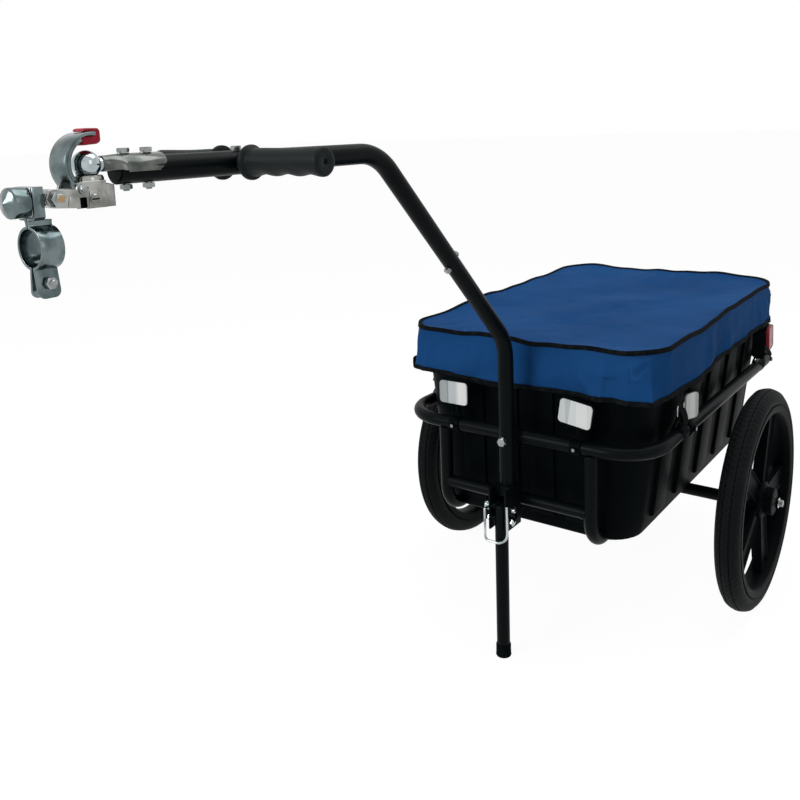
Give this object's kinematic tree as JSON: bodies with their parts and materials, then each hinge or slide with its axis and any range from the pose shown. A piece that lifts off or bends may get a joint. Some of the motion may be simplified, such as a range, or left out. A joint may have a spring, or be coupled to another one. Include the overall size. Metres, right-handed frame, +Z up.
{
  "type": "cargo bike trailer",
  "caption": "Two-wheeled cargo trailer for a bicycle, with a covered plastic tub on a tubular frame, a cranked drawbar, a folding stand and a ball coupling with a seat-post clamp.",
  "frame": {"origin": "middle of the whole part's box, on the floor", "axes": "+Z up, -Y forward along the drawbar, +X to the right of the drawbar seen from above with the drawbar at the bottom"},
  "size_m": [0.689, 1.57, 0.889],
  "materials": {
    "black_paint": "satin powder coat",
    "black_plastic": "fine grain",
    "black_rubber": "matt",
    "tyre_rubber": "matt",
    "zinc": "bright zinc plated",
    "chrome": "polished",
    "bronze": "plain",
    "red_plastic": "soft dipped plastic",
    "red_lens": "prismatic reflector in a black bracket",
    "white_lens": "prismatic reflector in a black bracket",
    "blue_fabric": "coated weave with black piping and hem",
    "webbing": "woven strap"
  },
  "bodies": {
    "frame": {"ring_front": "black_paint", "ring_rear": "black_paint", "rail_left": "black_paint", "rail_right": "black_paint", "front_crossbar": "black_paint", "rear_crossbar": "black_paint", "axle_beam": "black_paint", "drawbar_bracket": "black_paint", "drawbar_lower": "black_paint", "drawbar_upper": "black_paint", "handle_bar": "black_paint", "axle_bolt_left": "zinc", "axle_bolt_right": "zinc", "drawbar_joint_bolt": "zinc", "drawbar_frame_bolt": "zinc", "handle_screw": "zinc", "hitch_saddle": "zinc", "hitch_bolt_front": "zinc", "hitch_bolt_rear": "zinc", "axle_nut_left": "chrome", "axle_nut_right": "chrome", "hitch_ball": "chrome", "stand_bolt": "chrome", "tub": "black_plastic", "cover": "blue_fabric", "grip_left": "black_rubber", "grip_right": "black_rubber", "strap_front_left": "webbing", "strap_front_right": "webbing", "strap_rear_left": "webbing", "strap_rear_right": "webbing", "reflector_front_left": "white_lens", "reflector_front_right": "white_lens", "reflector_side_left": "white_lens", "reflector_side_right": "white_lens", "reflector_rear_left": "red_lens", "reflector_rear_right": "red_lens"},
    "wheel_left": {"wheel_left": "black_plastic", "tyre_left": "tyre_rubber", "hub_bush_left": "bronze"},
    "wheel_right": {"wheel_right": "black_plastic", "tyre_right": "tyre_rubber", "hub_bush_right": "bronze"},
    "stand": {"stand_leg": "black_paint", "stand_foot": "black_rubber"},
    "lock_pin": {"lock_pin": "chrome"},
    "lock_bail": {"lock_bail": "chrome"},
    "coupling_head": {"coupling_head": "zinc", "catch_pin": "zinc", "pivot_bolt": "zinc", "pivot_nut": "zinc"},
    "catch": {"catch_strap": "zinc", "catch_grip": "red_plastic"},
    "swivel": {"swivel_eye": "zinc", "swivel_cap": "zinc"},
    "clamp": {"swivel_bracket": "zinc", "seat_clamp_left": "zinc", "seat_clamp_right": "zinc", "seat_clamp_bolt": "zinc", "seat_clamp_nut": "zinc"}
  },
  "joints": [
    {"name": "wheel_left_spin", "type": "hinge", "parent": "frame", "child": "wheel_left", "pos_m": [-0.3, 0.395, 0.2], "axis": [1, 0, 0], "continuous": true},
    {"name": "wheel_right_spin", "type": "hinge", "parent": "frame", "child": "wheel_right", "pos_m": [0.3, 0.395, 0.2], "axis": [1, 0, 0], "continuous": true},
    {"name": "stand_fold", "type": "hinge", "parent": "frame", "child": "stand", "pos_m": [0, -0.003, 0.245], "axis": [-1, 0, 0], "range_deg": [0, 90]},
    {"name": "lock_pin_pull", "type": "slide", "parent": "stand", "child": "lock_pin", "axis": [-1, 0, 0], "range_m": [0, 0.04]},
    {"name": "bail_swing", "type": "hinge", "parent": "lock_pin", "child": "lock_bail", "pos_m": [-0.021, -0.003, 0.265], "axis": [-1, 0, 0], "range_deg": [0, 135]},
    {"name": "coupling_yaw", "type": "hinge", "parent": "frame", "child": "coupling_head", "pos_m": [0, -0.705, 0.857], "axis": [0, 0, 1], "range_deg": [-70, 70]},
    {"name": "catch_open", "type": "hinge", "parent": "coupling_head", "child": "catch", "pos_m": [0, -0.72, 0.837], "axis": [1, 0, 0], "range_deg": [0, 28]},
    {"name": "coupling_fold", "type": "hinge", "parent": "coupling_head", "child": "swivel", "pos_m": [0, -0.747, 0.831], "axis": [1, 0, 0], "range_deg": [-60, 15]},
    {"name": "clamp_turn", "type": "hinge", "parent": "swivel", "child": "clamp", "pos_m": [0, -0.766, 0.8295], "axis": [0, 1, 0], "range_deg": [-30, 30]}
  ]
}
